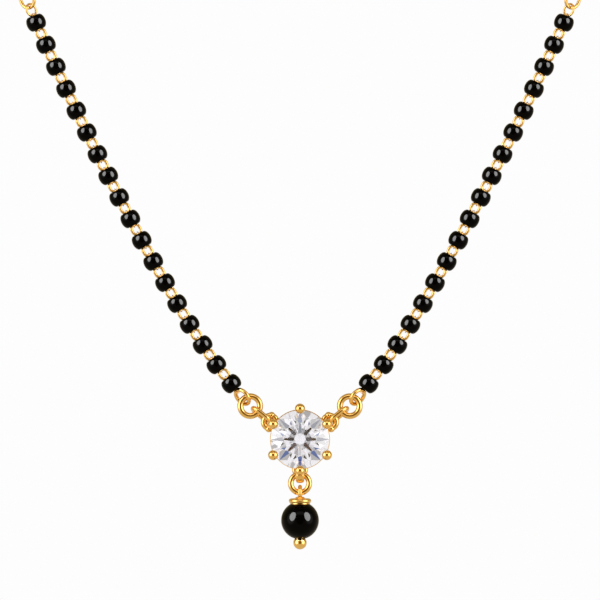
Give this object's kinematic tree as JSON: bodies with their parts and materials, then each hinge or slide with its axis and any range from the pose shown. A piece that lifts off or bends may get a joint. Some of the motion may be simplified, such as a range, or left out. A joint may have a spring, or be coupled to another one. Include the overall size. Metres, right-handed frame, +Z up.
{
  "type": "mangalsutra necklace",
  "caption": "Necklace of wired black beads with a round stone in a ball-prong setting, a black bead drop below it, and a gold cable chain that closes behind the neck.",
  "frame": {"origin": "middle of the clasp, where the necklace sits on the nape", "axes": "+X to the wearer's left, -Y the way the front of the pendant looks, +Z up"},
  "size_m": [0.0989, 0.1032, 0.1298],
  "materials": {
    "gold": "polished gold plate",
    "black_glass": "glossy black glass",
    "stone": "clear cut zirconia"
  },
  "bodies": {
    "necklace": {"setting": "gold", "stone": "stone", "clasp": "gold", "clasp_ring": "gold", "bar_link_left": "gold", "jump_ring_left": "gold", "end_link_left": "gold", "bead_wires_left": "gold", "ring_links_left": "gold", "top_link_left": "gold", "chain_left": "gold", "bar_link_right": "gold", "jump_ring_right": "gold", "end_link_right": "gold", "bead_wires_right": "gold", "ring_links_right": "gold", "top_link_right": "gold", "chain_right": "gold", "bead_left_01": "black_glass", "bead_left_02": "black_glass", "bead_left_03": "black_glass", "bead_left_04": "black_glass", "bead_left_05": "black_glass", "bead_left_06": "black_glass", "bead_left_07": "black_glass", "bead_left_08": "black_glass", "bead_left_09": "black_glass", "bead_left_10": "black_glass", "bead_left_11": "black_glass", "bead_left_12": "black_glass", "bead_left_13": "black_glass", "bead_left_14": "black_glass", "bead_left_15": "black_glass", "bead_left_16": "black_glass", "bead_left_17": "black_glass", "bead_left_18": "black_glass", "bead_right_01": "black_glass", "bead_right_02": "black_glass", "bead_right_03": "black_glass", "bead_right_04": "black_glass", "bead_right_05": "black_glass", "bead_right_06": "black_glass", "bead_right_07": "black_glass", "bead_right_08": "black_glass", "bead_right_09": "black_glass", "bead_right_10": "black_glass", "bead_right_11": "black_glass", "bead_right_12": "black_glass", "bead_right_13": "black_glass", "bead_right_14": "black_glass", "bead_right_15": "black_glass", "bead_right_16": "black_glass", "bead_right_17": "black_glass", "bead_right_18": "black_glass"},
    "hanger": {"drop_ring": "gold"},
    "drop": {"drop_cap": "gold", "drop_bead": "black_glass", "head_pin": "gold"}
  },
  "joints": [
    {"name": "hanger_swing", "type": "hinge", "parent": "necklace", "child": "hanger", "pos_m": [0, -0.0987, -0.11665], "axis": [1, 0, 0], "range_deg": [-50, 50]},
    {"name": "drop_swing", "type": "hinge", "parent": "hanger", "child": "drop", "pos_m": [0, -0.0987, -0.11911], "axis": [1, 0, 0], "range_deg": [-45, 45]}
  ]
}
